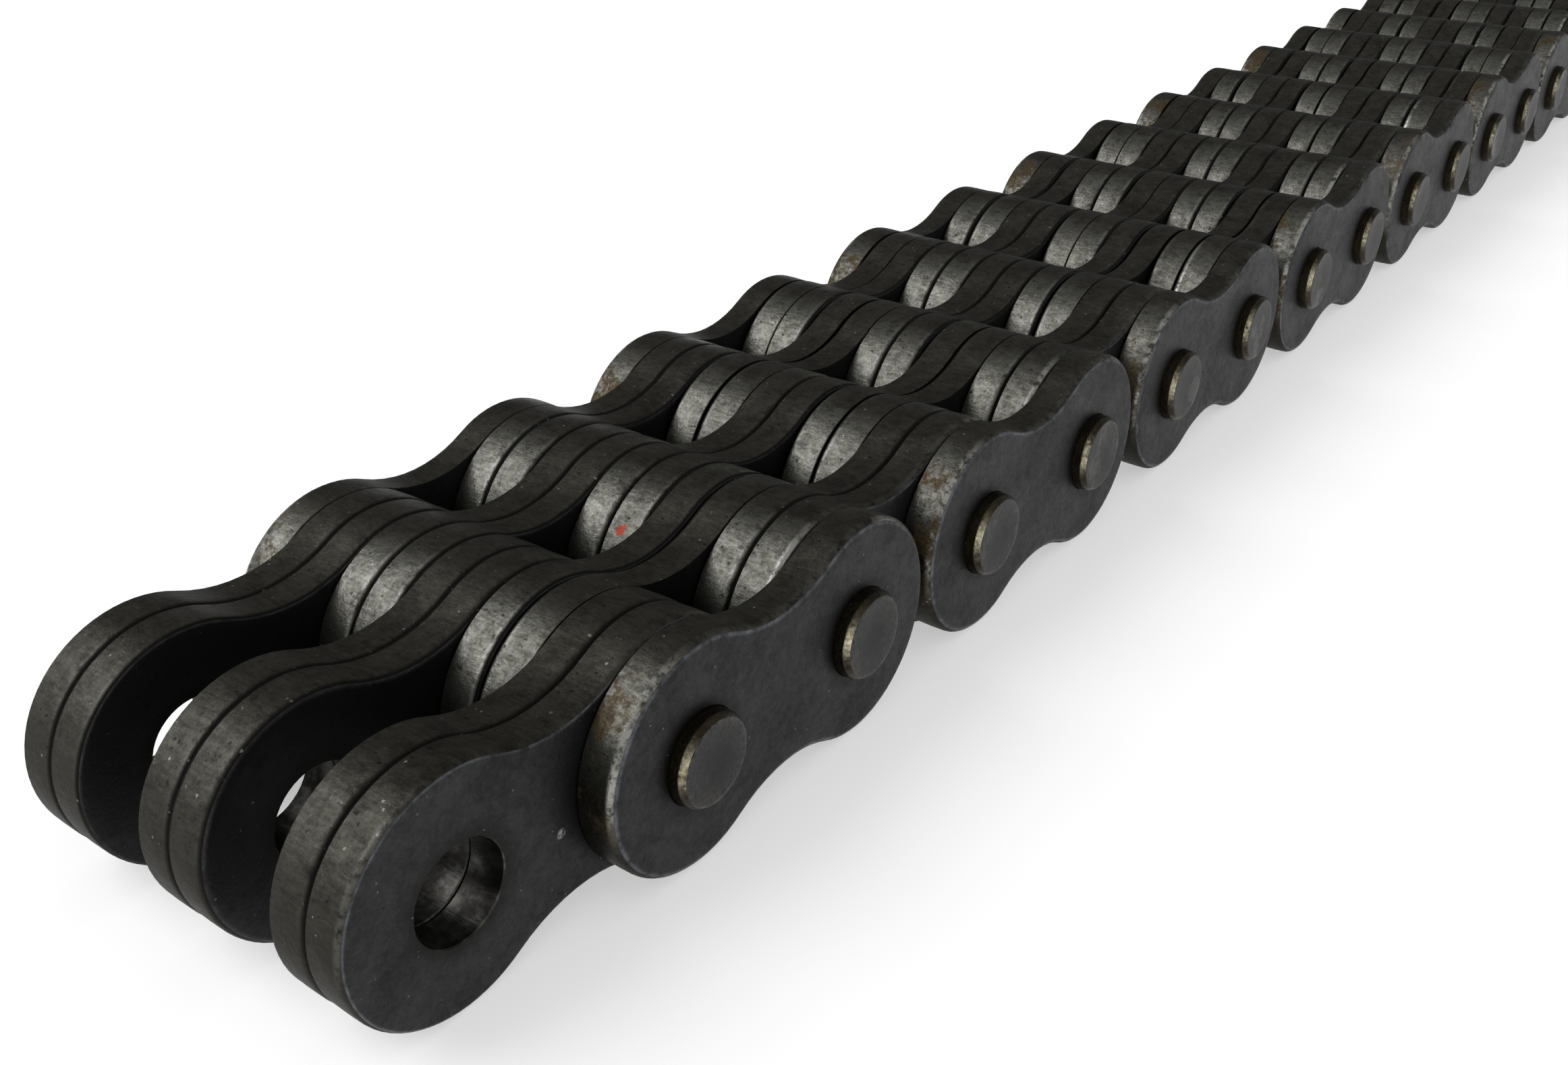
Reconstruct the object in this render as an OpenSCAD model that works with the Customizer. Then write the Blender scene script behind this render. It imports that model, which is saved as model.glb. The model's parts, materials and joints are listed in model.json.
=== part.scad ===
// Leaf chain of the heavy kind, laced six plates on six: every pin carries twelve plates side by side.
// Inner links hold three pairs of plates that turn on the pins. Outer links hold two pairs that slide
// over the pins, and one plate at each side into which the pins are pressed.
// The chain lies straight along X, with the centre of its first eye at the origin and the pins along Y.

/* [Chain] */
// Distance between the centres of neighbouring pins
pitch = 25.4; // [20:0.1:40]
// Number of links from eye to eye, odd so that both ends are inner links
link_count = 17; // [3:2:17]

/* [Plates] */
// Thickness of one plate
plate_thickness = 4.09; // [3:0.01:6]
// Gap between the round ends of plates that follow each other in one row
end_gap = 1.27; // [0.8:0.01:3]
// Depth of the waist below the height of the round ends, at one edge
waist_depth = 3.1; // [1:0.1:4]
// Width of the edge that the blanking die rolls over, at one face of a plate
rolled_edge = 0.6; // [0.2:0.05:0.9]
// Width of the sheared edge at the other face
sheared_edge = 0.1; // [0.05:0.05:0.3]
// Play between plates that lie side by side
side_play = 0.17; // [0.05:0.01:0.4]

/* [Pins] */
// Diameter of a pin, and of the holes that it is pressed into
pin_diameter = 9.54; // [7:0.01:11]
// Radial play of a pin in the plates that turn or slide on it
running_play = 0.05; // [0.02:0.01:0.1]
// How far a pin end stands out of the outer plate
pin_stand = 1.75; // [1:0.05:3]
// Height of the cone at a pin end
cone_height = 0.6; // [0.2:0.05:0.9]
// Width of the cone at a pin end
cone_width = 0.45; // [0.2:0.05:1.5]
// Width of the rim round the dished end of a pin
dish_rim = 0.5; // [0.2:0.05:0.8]
// Depth of the dish in a pin end
dish_depth = 0.15; // [0.05:0.05:0.4]

/* [Hidden] */
$fn = 96;

// Number of plates side by side on one pin
plate_count = 12;

// Rows of plates across the chain, counted from the middle: row 0 begins at the middle plane
right_outer_row = -plate_count / 2;
left_outer_row = plate_count / 2 - 1;
right_pair_rows = [for (step = [1, 2]) right_outer_row + step];
right_middle_rows = [for (step = [3, 4]) right_outer_row + step];
centre_pair_rows = [for (step = [5, 6]) right_outer_row + step];
left_middle_rows = [for (step = [7, 8]) right_outer_row + step];
left_pair_rows = [for (step = [9, 10]) right_outer_row + step];

row_pitch = plate_thickness + side_play;
end_radius = (pitch - end_gap) / 2;
half_waist = end_radius - waist_depth;

// The round ends reach this far over the waist arcs, so that the two meet along a clean line
blend_lap = 0.004;
blend_radius = end_radius - blend_lap;

// Radius of the arc that hollows one edge of the waist, and its distance from the plate's middle line
waist_radius = (pow(pitch / 2, 2) + pow(half_waist, 2) - pow(blend_radius, 2))
    / (2 * (blend_radius - half_waist));
waist_centre = half_waist + waist_radius;

pin_radius = pin_diameter / 2;
turning_hole = pin_diameter + 2 * running_play;
outer_face = left_outer_row * row_pitch + side_play / 2 + plate_thickness;
pin_half_length = outer_face + pin_stand;

// How far a cutting shape runs past the face that it cuts
over = 1;

inner_links = [for (link = [1 : 2 : link_count]) link];
outer_links = [for (link = [2 : 2 : link_count - 1]) link];
inner_pieces = ["right_pair", "centre_pair", "left_pair"];
outer_pieces = ["right_plate", "middle_pairs", "left_plate", "pins"];

function piece_name(link, piece) = str("link_", link < 10 ? "0" : "", link, "_", piece);

// Round end of a plate, turned about its pin: rolled over at the lower face, sheared at the upper one
module round_end() {
    rotate_extrude()
        polygon([
            [0, 0],
            [end_radius - rolled_edge, 0],
            [end_radius, rolled_edge],
            [end_radius, plate_thickness - sheared_edge],
            [end_radius - sheared_edge, plate_thickness],
            [0, plate_thickness]
        ]);
}

// Roller that hollows one edge of the waist; its flared rims carry the rolled and sheared edges on there
module waist_roller() {
    rotate_extrude()
        polygon([
            [0, -over],
            [waist_radius + rolled_edge + over, -over],
            [waist_radius, rolled_edge],
            [waist_radius, plate_thickness - sheared_edge],
            [waist_radius + sheared_edge + over, plate_thickness + over],
            [0, plate_thickness + over]
        ]);
}

// Middle of a plate: a rhombus between the pins and the waist centres, hollowed from both edges
module waist() {
    difference() {
        linear_extrude(plate_thickness)
            polygon([[0, 0], [pitch / 2, waist_centre], [pitch, 0], [pitch / 2, -waist_centre]]);
        for (edge = [-1, 1])
            translate([pitch / 2, edge * waist_centre, 0])
                waist_roller();
    }
}

// One plate lying flat on its rolled face, with the first hole at the origin
module leaf_plate(hole) {
    difference() {
        union() {
            waist();
            for (x = [0, pitch])
                translate([x, 0, 0])
                    round_end();
        }
        for (x = [0, pitch])
            translate([x, 0, -over])
                cylinder(d = hole, h = plate_thickness + 2 * over);
    }
}

// One plate stood on edge in its link and its row, with its rolled face to the right.
// The left outer plate is turned round, so that both outer plates show their rolled faces.
module plate_in_row(link, row, hole) {
    turned = row == left_outer_row;
    translate([(link - 1) * pitch, row * row_pitch + side_play / 2, 0])
        translate([turned ? pitch : 0, turned ? plate_thickness : 0, 0])
            rotate([-90, 0, turned ? 180 : 0])
                leaf_plate(hole);
}

// Plates of one link that lie side by side
module plates_in_rows(link, rows, hole) {
    for (row = rows)
        plate_in_row(link, row, hole);
}

module right_pair(link) {
    color("dimgray")
        plates_in_rows(link, right_pair_rows, turning_hole);
}

module centre_pair(link) {
    color("dimgray")
        plates_in_rows(link, centre_pair_rows, turning_hole);
}

module left_pair(link) {
    color("dimgray")
        plates_in_rows(link, left_pair_rows, turning_hole);
}

module middle_pairs(link) {
    color("slategray")
        plates_in_rows(link, concat(right_middle_rows, left_middle_rows), turning_hole);
}

module right_plate(link) {
    color("darkslategray")
        plate_in_row(link, right_outer_row, pin_diameter);
}

module left_plate(link) {
    color("darkslategray")
        plate_in_row(link, left_outer_row, pin_diameter);
}

// Half of a pin, from its middle to its coned and dished end
module half_pin() {
    face_radius = pin_radius - cone_width;
    dish_radius = face_radius - dish_rim;
    rotate_extrude()
        polygon([
            [0, 0],
            [pin_radius, 0],
            [pin_radius, pin_half_length - cone_height],
            [face_radius, pin_half_length],
            [dish_radius, pin_half_length],
            [dish_radius - dish_depth, pin_half_length - dish_depth],
            [0, pin_half_length - dish_depth]
        ]);
}

module pins(link) {
    color("darkkhaki")
        for (pin = [link - 1, link])
            translate([pin * pitch, 0, 0])
                for (turn = [-90, 90])
                    rotate([turn, 0, 0])
                        half_pin();
}

for (link = inner_links) {
    right_pair(link);
    centre_pair(link);
    left_pair(link);
}
for (link = outer_links) {
    right_plate(link);
    middle_pairs(link);
    left_plate(link);
    pins(link);
}
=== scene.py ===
"""Looks of a heavy leaf chain, laced six plates on six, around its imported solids."""
import json
import logging
import math
import random
from collections.abc import Iterable
from dataclasses import dataclass
from enum import Enum, IntEnum
from functools import partial, reduce
from typing import Any

import bmesh
import bpy
from bmesh.types import BMesh
from bpy.types import ID, Material, Mesh, Node, NodeTree, Object
from mathutils import Matrix, Vector

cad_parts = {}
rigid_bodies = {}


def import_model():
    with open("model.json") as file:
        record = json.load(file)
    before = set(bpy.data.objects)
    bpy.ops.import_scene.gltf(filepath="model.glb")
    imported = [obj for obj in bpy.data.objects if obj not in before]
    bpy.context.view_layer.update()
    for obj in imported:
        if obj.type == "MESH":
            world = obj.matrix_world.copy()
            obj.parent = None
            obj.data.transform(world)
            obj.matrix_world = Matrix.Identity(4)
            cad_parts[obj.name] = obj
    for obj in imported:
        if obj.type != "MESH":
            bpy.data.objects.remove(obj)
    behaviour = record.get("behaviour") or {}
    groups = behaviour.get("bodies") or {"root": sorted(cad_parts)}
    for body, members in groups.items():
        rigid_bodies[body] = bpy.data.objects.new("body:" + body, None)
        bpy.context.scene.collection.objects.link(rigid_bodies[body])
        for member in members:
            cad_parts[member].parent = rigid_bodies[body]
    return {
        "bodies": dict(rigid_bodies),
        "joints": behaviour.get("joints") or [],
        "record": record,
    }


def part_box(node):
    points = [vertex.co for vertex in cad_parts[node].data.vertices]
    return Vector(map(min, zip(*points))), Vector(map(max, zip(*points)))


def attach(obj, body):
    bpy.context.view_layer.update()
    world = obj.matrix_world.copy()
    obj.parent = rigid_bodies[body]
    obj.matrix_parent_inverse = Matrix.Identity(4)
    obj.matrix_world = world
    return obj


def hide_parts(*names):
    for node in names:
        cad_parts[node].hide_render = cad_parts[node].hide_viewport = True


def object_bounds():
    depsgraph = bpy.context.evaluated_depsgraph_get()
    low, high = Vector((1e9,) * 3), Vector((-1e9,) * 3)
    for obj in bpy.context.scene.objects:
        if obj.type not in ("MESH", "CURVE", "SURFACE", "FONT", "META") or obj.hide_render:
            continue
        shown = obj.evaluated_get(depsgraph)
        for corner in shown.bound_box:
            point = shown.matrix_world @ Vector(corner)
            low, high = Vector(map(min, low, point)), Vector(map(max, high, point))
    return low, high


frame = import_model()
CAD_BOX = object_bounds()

LOG = logging.getLogger("leaf_chain")
MM = 0.001
MERGE_DISTANCE = 0.001 * MM
SHARP_CORNER = math.radians(35)
BLUNT_CORNER = math.radians(25)
# Sideways part of a normal above which a plate's surface counts as its flat face
FLAT_NORMAL = 0.78
# How far the patterns of two plates or pins may be shifted against each other, in metres
TONE_RANGE = 1.0
# Rows whose plates are open at the side: their faces get no painted shade, and their grooves no oil and
# painted shade, of closed gaps
OPEN_ROWS = (-6, -5, 5)
# Ranges from which a plate draws how worn and how rusty its round ends are; end links have a fixed wear
RUBBED_WEAR = (0.75, 1.0)
UNRUBBED_WEAR = 0.15
OUTER_RUST = (0.4, 1.0)
INNER_RUST = (0.0, 0.15)
# Share of the plates that were laid with their rolled edge to the left
FLIPPED_SHARE = 0.22

Colour = tuple[float, float, float]
Point = tuple[float, float, float]
Span = tuple[float, float]
Socket = bpy.types.NodeSocket
Materials = tuple[Material, ...]


class RolledSide(Enum):
    """Side of the chain to which the rolled edge of a blanked plate points."""

    RIGHT = -1
    LEFT = 1


class PlateZone(IntEnum):
    """Surfaces of a plate, in the order of its material slots."""

    FACE = 0
    EDGE = 1
    BORE = 2


class PinZone(IntEnum):
    """Surfaces of a pin, in the order of its material slots."""

    WALL = 0
    END = 1


class SteelSlot(Enum):
    """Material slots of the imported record."""

    INNER_PLATE = "inner_plate_steel"
    OUTER_PLATE = "outer_plate_steel"
    PIN = "pin_steel"


@dataclass(frozen=True)
class ChainSizes:
    """Sizes of the chain in metres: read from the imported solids, or given where no box shows them."""

    pitch: float
    end_radius: float
    plate_thickness: float
    row_pitch: float
    hole_radius: float
    pin_half_length: float
    link_count: int
    waist_depth: float = 3.1 * MM
    running_play: float = 0.05 * MM

    @classmethod
    def from_frame(cls) -> "ChainSizes":
        """Measures the first plates and pins of the frame.

        Returns:
            The sizes that every plate and pin is made from.
        """
        plate_low, plate_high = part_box("link_02_right_plate")
        pair_low, pair_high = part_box("link_01_right_pair")
        pins_low, pins_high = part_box("link_02_pins")
        thickness = plate_high.y - plate_low.y
        return cls(
            pitch=frame["joints"][0]["pos_m"][0],
            end_radius=(plate_high.z - plate_low.z) / 2,
            plate_thickness=thickness,
            row_pitch=pair_high.y - pair_low.y - thickness,
            hole_radius=frame["record"]["mounts"][0]["dims"]["r_mm"] * MM,
            pin_half_length=(pins_high.y - pins_low.y) / 2,
            link_count=len(frame["joints"]) + 1,
        )

    @property
    def pin_radius(self) -> float:
        """Radius of a pin."""
        return self.hole_radius - self.running_play

    @property
    def waist_radius(self) -> float:
        """Radius of the arc that hollows one edge of a plate between its round ends."""
        half_waist = self.end_radius - self.waist_depth
        return ((self.pitch / 2) ** 2 + half_waist**2 - self.end_radius**2) / (2 * self.waist_depth)

    @property
    def waist_centre(self) -> float:
        """Distance of the waist arc's centre from the plate's middle line."""
        return self.end_radius - self.waist_depth + self.waist_radius


@dataclass(frozen=True)
class EdgeForm:
    """Cross-section that the blanking die leaves at the edge of a plate, in metres.

    The land share is the part of the thickness that is sheared clean. Beyond it the torn edge falls back
    by the taper. The support is a flat ring that keeps the shading of the faces even.
    """

    roll_width: float = 0.6 * MM
    roll_depth: float = 0.75 * MM
    roll_steps: int = 5
    land_share: float = 0.55
    break_taper: float = 0.06 * MM
    burr_width: float = 0.07 * MM
    support: float = 0.7 * MM

    def profile(self, thickness: float, growth: float) -> list[tuple[float, float]]:
        """Lays out the cross-section from the rolled face to the sharp face.

        Args:
            thickness: Thickness of the plate.
            growth: Factor on the width of the rolled edge.

        Returns:
            Points as an offset from the outline, outwards positive, and a height over the rolled face.
        """
        width = self.roll_width * growth
        depth = self.roll_depth * math.sqrt(growth)
        points = [(-width - self.support, 0.0)]
        for step in range(self.roll_steps + 1):
            turn = step / self.roll_steps * math.pi / 2
            points.append((width * (math.sin(turn) - 1), depth * (1 - math.cos(turn))))
        inner = -self.break_taper - self.burr_width
        points += [
            (0.0, thickness * self.land_share),
            (-self.break_taper, thickness - self.burr_width),
            (inner, thickness),
            (inner - self.support, thickness),
        ]
        return points


class NodeSheet:
    """A short way to place and join the nodes of a material or a node group."""

    # Places of the factor and the two colours among a Mix node's inputs, and of the colour put out
    mix_inputs = (0, 6, 7)
    mix_output = 2

    def __init__(self, tree: NodeTree) -> None:
        """Takes over a node tree."""
        self.tree = tree

    def add(self, kind: str, **settings: Any) -> Node:
        """Adds one node.

        Args:
            kind: Type of the node, without the leading words that all shader nodes share.
            settings: Properties of the node, by name.

        Returns:
            The new node.
        """
        node = self.tree.nodes.new("ShaderNode" + kind)
        for name, value in settings.items():
            setattr(node, name, value)
        return node

    def feed(self, node: Node, *values: Any, **inputs: Any) -> Node:
        """Sets or joins the inputs of a node.

        Args:
            node: The node that is fed.
            values: Values or sockets for the first inputs, in their order.
            inputs: Values or sockets by the input's name, with _ for a space.

        Returns:
            The same node.
        """
        for target, value in zip(node.inputs, values):
            self.put(target, value)
        for name, value in inputs.items():
            self.put(node.inputs[name.replace("_", " ")], value)
        return node

    def put(self, target: Socket, value: Any) -> None:
        """Joins a socket to an input, or writes a plain value into it.

        Args:
            target: The input.
            value: A socket, a number, a vector, or a colour, which becomes opaque.
        """
        if isinstance(value, Socket):
            self.tree.links.new(value, target)
        elif isinstance(value, tuple) and target.type == "RGBA":
            target.default_value = (*value, 1.0)
        else:
            target.default_value = value

    def math(self, operation: str, *values: Any) -> Socket:
        """Works out one sum of values or sockets."""
        return self.feed(self.add("Math", operation=operation), *values).outputs[0]

    def vector(self, operation: str, *values: Any) -> Node:
        """Works out one sum of vectors, which has a vector and a number as its outputs."""
        return self.feed(self.add("VectorMath", operation=operation), *values)

    def product(self, *factors: Any) -> Socket:
        """Multiplies several values or sockets."""
        return reduce(partial(self.math, "MULTIPLY"), factors)

    def total(self, *parts: tuple[Socket, float]) -> Socket:
        """Adds up sockets, each times its weight."""
        return reduce(lambda so_far, part: self.math("MULTIPLY_ADD", *part, so_far), parts, 0.0)

    def ramp(self, value: Any, low: Any, high: Any, start: Any = 0.0, end: Any = 1.0) -> Socket:
        """Maps a value smoothly from low..high to start..end, and holds it beyond them."""
        node = self.add("MapRange", interpolation_type="SMOOTHSTEP")
        return self.feed(node, value, low, high, start, end).outputs[0]

    def blend(self, mask: Any, first: Any, second: Any) -> Socket:
        """Blends two colours by a mask.

        Args:
            mask: Share of the second colour.
            first: Colour where the mask is 0.
            second: Colour where the mask is 1.

        Returns:
            The blended colour.
        """
        node = self.add("Mix", data_type="RGBA")
        for place, value in zip(self.mix_inputs, (mask, first, second)):
            self.put(node.inputs[place], value)
        return node.outputs[self.mix_output]

    def noise(self, vector: Any, scale: Any, detail: float, rough: float = 0.6) -> Socket:
        """Adds fractal noise."""
        node = self.feed(self.add("TexNoise"), Vector=vector, Scale=scale, Detail=detail, Roughness=rough)
        return node.outputs[0]

    def read(self, name: str) -> Socket:
        """Reads a number that the mesh carries."""
        return self.add("Attribute", attribute_name=name).outputs["Fac"]


class SurfaceEffects:
    """Shader node groups for the finishes, each built once and with one mask as its output."""

    def __init__(self, sizes: ChainSizes) -> None:
        """Builds every group.

        Args:
            sizes: Sizes of the chain.
        """
        self.groups: dict[str, NodeTree] = {}
        self._mottle()
        self._blanking_streaks()
        self._specks()
        self._stains()
        self._scratches()
        self._pin_grime(sizes)

    def _open(self, name: str, *numbers: str) -> tuple[Any, ...]:
        """Opens a group that takes a vector and named numbers.

        Args:
            name: Name of the group.
            numbers: Names of the numbers that the group takes.

        Returns:
            The sheet to build on, the vector and the numbers.
        """
        tree = bpy.data.node_groups.new(name, "ShaderNodeTree")
        tree.interface.new_socket("Vector", in_out="INPUT", socket_type="NodeSocketVector")
        for number in numbers:
            tree.interface.new_socket(number, in_out="INPUT", socket_type="NodeSocketFloat")
        tree.interface.new_socket("Mask", in_out="OUTPUT", socket_type="NodeSocketFloat")
        self.groups[name] = tree
        given = tree.nodes.new("NodeGroupInput").outputs
        return NodeSheet(tree), *(given[label] for label in ("Vector", *numbers))

    @staticmethod
    def _close(sheet: NodeSheet, mask: Socket) -> None:
        """Puts the mask out of a group."""
        sheet.put(sheet.tree.nodes.new("NodeGroupOutput").inputs["Mask"], mask)

    def _mottle(self) -> None:
        """Cloudy change of tone, as on oil-blackened steel."""
        sheet, vector, scale, softness = self._open("mottle", "Scale", "Softness")
        cloud = sheet.noise(vector, scale, 4.0, 0.66)
        low = sheet.math("SUBTRACT", 0.5, softness)
        high = sheet.math("ADD", 0.5, softness)
        self._close(sheet, sheet.ramp(cloud, low, high))

    def _blanking_streaks(self) -> None:
        """Fine lines across the thickness of a plate, drawn by the die."""
        sheet, vector, scale = self._open("blanking_streaks", "Scale")
        drawn = sheet.vector("MULTIPLY", vector, (1.0, 0.2, 1.0)).outputs[0]
        lines = sheet.noise(drawn, scale, 3.0, 0.7)
        self._close(sheet, sheet.ramp(lines, 0.34, 0.7))

    def _specks(self) -> None:
        """Small scattered spots with ragged outlines, such as pits, dust and bright flecks."""
        sheet, vector, scale, share = self._open("specks", "Scale", "Share")
        fine = sheet.math("MULTIPLY", scale, 2.0)
        wobble = sheet.feed(sheet.add("TexNoise"), Vector=vector, Scale=fine, Detail=1.0)
        depth = sheet.math("DIVIDE", 0.5, scale)
        ragged = sheet.vector("MULTIPLY_ADD", wobble.outputs[1], depth, vector)
        cells = sheet.feed(sheet.add("TexVoronoi"), Vector=ragged.outputs[0], Scale=scale)
        chance = sheet.feed(sheet.add("SeparateColor"), cells.outputs["Color"]).outputs
        chosen = sheet.math("LESS_THAN", chance[0], share)
        core = sheet.math("MULTIPLY", chance[1], 0.22)
        spot = sheet.ramp(cells.outputs["Distance"], core, sheet.math("ADD", core, 0.16), 1.0, 0.0)
        self._close(sheet, sheet.product(spot, chosen))

    def _stains(self) -> None:
        """Broken patches, such as rust, dried oil and smudges."""
        sheet, vector, scale, level = self._open("stains", "Scale", "Level")
        wide = sheet.noise(vector, scale, 2.0)
        fine = sheet.noise(vector, sheet.math("MULTIPLY", scale, 6.0), 3.0, 0.7)
        broken = sheet.total((wide, 0.65), (fine, 0.35))
        limit = sheet.math("SUBTRACT", 1.0, level)
        self._close(sheet, sheet.ramp(broken, limit, sheet.math("ADD", limit, 0.14)))

    def _scratches(self) -> None:
        """Sparse short strokes, mostly upright."""
        sheet, vector, scale, level = self._open("scratches", "Scale", "Level")
        drawn = sheet.vector("MULTIPLY", vector, (4.0, 1.0, 0.9)).outputs[0]
        strokes = sheet.noise(drawn, scale, 2.0, 0.55)
        limit = sheet.math("SUBTRACT", 1.0, level)
        self._close(sheet, sheet.ramp(strokes, limit, sheet.math("ADD", limit, 0.06)))

    def _pin_grime(self, sizes: ChainSizes) -> None:
        """Dark ring on a plate around each pin: oily dirt, and painted shade where the pin meets the
        plate.

        Args:
            sizes: Sizes of the chain.
        """
        sheet, vector, reach = self._open("pin_grime", "Reach")
        axes = sheet.feed(sheet.add("SeparateXYZ"), vector).outputs
        half = sizes.pitch / 2
        along = sheet.math("WRAP", axes["X"], half, -half)
        squares = sheet.math("ADD", sheet.product(along, along), sheet.product(axes["Z"], axes["Z"]))
        distance = sheet.math("SQRT", squares)
        end = sheet.math("ADD", sizes.pin_radius, reach)
        self._close(sheet, sheet.ramp(distance, sizes.pin_radius, end, 1.0, 0.0))


@dataclass(frozen=True)
class Finish:
    """A steel finish. Glance is how bright it gets at a flat angle, and relief is a depth in metres."""

    name: str
    metallic: float
    relief: float
    glance: float = 1.0

    def build(self, effects: SurfaceEffects) -> Material:
        """Makes the material.

        Args:
            effects: The shared node groups.

        Returns:
            The finished material.
        """
        sheet = SteelSheet(self, effects)
        self.dress(sheet)
        return sheet.material

    def dress(self, sheet: "SteelSheet") -> None:
        """Paints the surface, each kind of finish in its own way."""
        raise NotImplementedError


class SteelSheet(NodeSheet):
    """Nodes of one steel material, with the coordinates and the shared effects that it reads."""

    # Shares of a plate's thickness between which the rolled rim fades out
    rim_fade = (0.24, 0.13)
    # Share of its reach within which a single mark is full
    mark_core = 0.3

    def __init__(self, finish: Finish, effects: SurfaceEffects) -> None:
        """Starts the material.

        Patterns are read at a spot that is shifted for each plate or pin, so that no two look alike.

        Args:
            finish: The finish that is painted.
            effects: The shared node groups.
        """
        self.material = bpy.data.materials.new(finish.name)
        self.material.use_nodes = True
        super().__init__(self.material.node_tree)
        self.effects = effects
        self.relief = finish.relief
        self.shader = self.tree.nodes["Principled BSDF"]
        self.feed(self.shader, Metallic=finish.metallic, Specular_Tint=(finish.glance,) * 3)
        self.place = self.add("TexCoord").outputs["Object"]
        self.spot = self.vector("ADD", self.place, self.read("tone")).outputs[0]

    def mask(self, effect: str, *numbers: float, vector: Socket | None = None) -> Socket:
        """Places a shared effect.

        Args:
            effect: Name of the node group.
            numbers: The group's numbers: mostly its scale, then its softness, share or level.
            vector: Where the effect is read, if not at the shifted spot.

        Returns:
            The effect's mask.
        """
        node = self.add("Group", node_tree=self.effects.groups[effect])
        return self.feed(node, vector or self.spot, *numbers).outputs["Mask"]

    def rolled_band(self, start: float, full: float) -> Socket:
        """Masks a plate's rolled rim, from two shares of its thickness where it starts and is full."""
        across = self.read("across")
        return self.product(self.ramp(across, start, full), self.ramp(across, *self.rim_fade))

    def near(self, spot: Point, reach: float) -> Socket:
        """Masks the surroundings of one place on the chain, fading out at a reach."""
        away = self.vector("DISTANCE", self.place, spot)
        return self.ramp(away.outputs["Value"], reach, self.mark_core * reach)

    def coat(self, colour: Socket, *coats: tuple[Any, ...]) -> Socket:
        """Lays coats over a colour, one after the other.

        Args:
            colour: The colour below.
            coats: The colour of each coat, followed by the factors of its mask.

        Returns:
            The colour on top.
        """
        for tint, *factors in coats:
            colour = self.blend(self.product(*factors), colour, tint)
        return colour

    def join(self, colour: Socket, roughness: Any, height: Socket) -> None:
        """Joins the colour, the roughness and the relief to the shader."""
        bump = self.feed(self.add("Bump"), Height=height, Distance=self.relief, Strength=1.0)
        self.feed(self.shader, Base_Color=colour, Roughness=roughness, Normal=bump.outputs["Normal"])


@dataclass(frozen=True)
class FaceFinish(Finish):
    """Flat face of a plate: satin blackened steel with clouds and pits, a painted highlight on the rolled
    rim, painted shade in closed gaps, and oil and painted shade around the pins.
    """

    name: str = "blackened_plate_face"
    metallic: float = 0.75
    relief: float = 0.012 * MM
    glance: float = 0.8
    roughness: Span = (0.54, 0.40)
    dark: Colour = (0.0096, 0.0099, 0.0106)
    light: Colour = (0.0390, 0.0396, 0.0418)
    # Dark colour of dirt in scratches and pits, also used for painted shade in closed gaps and round the
    # pins
    dirt_and_shade: Colour = (0.008, 0.007, 0.0055)
    dust: Colour = (0.13, 0.13, 0.125)
    # Bluish painted highlight along the rolled rim, and the share of it that is left in closed gaps
    rim: Colour = (0.15, 0.155, 0.168)
    shut_rim: float = 0.15
    # Reach of the dark ring of oil and painted shade round each pin
    grime_reach: float = 2.2 * MM
    nick: Colour = (0.42, 0.42, 0.40)
    nick_spot: Point = (11.4 * MM, -21.2 * MM, -1.6 * MM)
    nick_reach: float = 0.65 * MM

    def dress(self, sheet: SteelSheet) -> None:
        """Paints clouds, scratches, pits, painted shade in closed gaps, oil and painted shade round the
        pins, a painted highlight on the rolled rim, dust and one nick.

        Args:
            sheet: The material's nodes.
        """
        clouds = sheet.mask("mottle", 150.0, 0.22)
        patches = sheet.mask("mottle", 800.0, 0.2)
        grain = sheet.mask("mottle", 3200.0, 0.26)
        pits = sheet.mask("specks", 1150.0, 0.17)
        dust = sheet.mask("specks", 2600.0, 0.012)
        grime = sheet.mask("pin_grime", self.grime_reach, vector=sheet.place)
        marks = sheet.mask("scratches", 420.0, 0.31)
        shut = sheet.read("shut")

        share = sheet.total((clouds, 0.42), (patches, 0.34), (grain, 0.24))
        rim_share = sheet.total((patches, 0.6), (clouds, 0.4))
        rim_open = sheet.ramp(shut, 0.0, 1.0, 1.0, self.shut_rim)
        colour = sheet.coat(
            sheet.blend(share, self.dark, self.light),
            (self.dirt_and_shade, marks, 0.42),
            (self.dirt_and_shade, pits, clouds, 0.8),
            # Painted shade on faces that are closed in by neighbouring plates
            (self.dirt_and_shade, shut, 0.45),
            # Oil and painted shade round each pin
            (self.dirt_and_shade, grime, 0.92),
            # Painted highlight along the rolled rim
            (self.rim, sheet.rolled_band(0.001, 0.02), rim_share, rim_open),
            (self.dust, dust),
            (self.nick, sheet.near(self.nick_spot, self.nick_reach), sheet.ramp(grain, 0.15, 0.5)),
        )
        roughness = sheet.ramp(share, 0.0, 1.0, *self.roughness)
        sheet.join(colour, roughness, sheet.total((grain, 0.7), (patches, 0.8), (pits, -1.0)))


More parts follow.
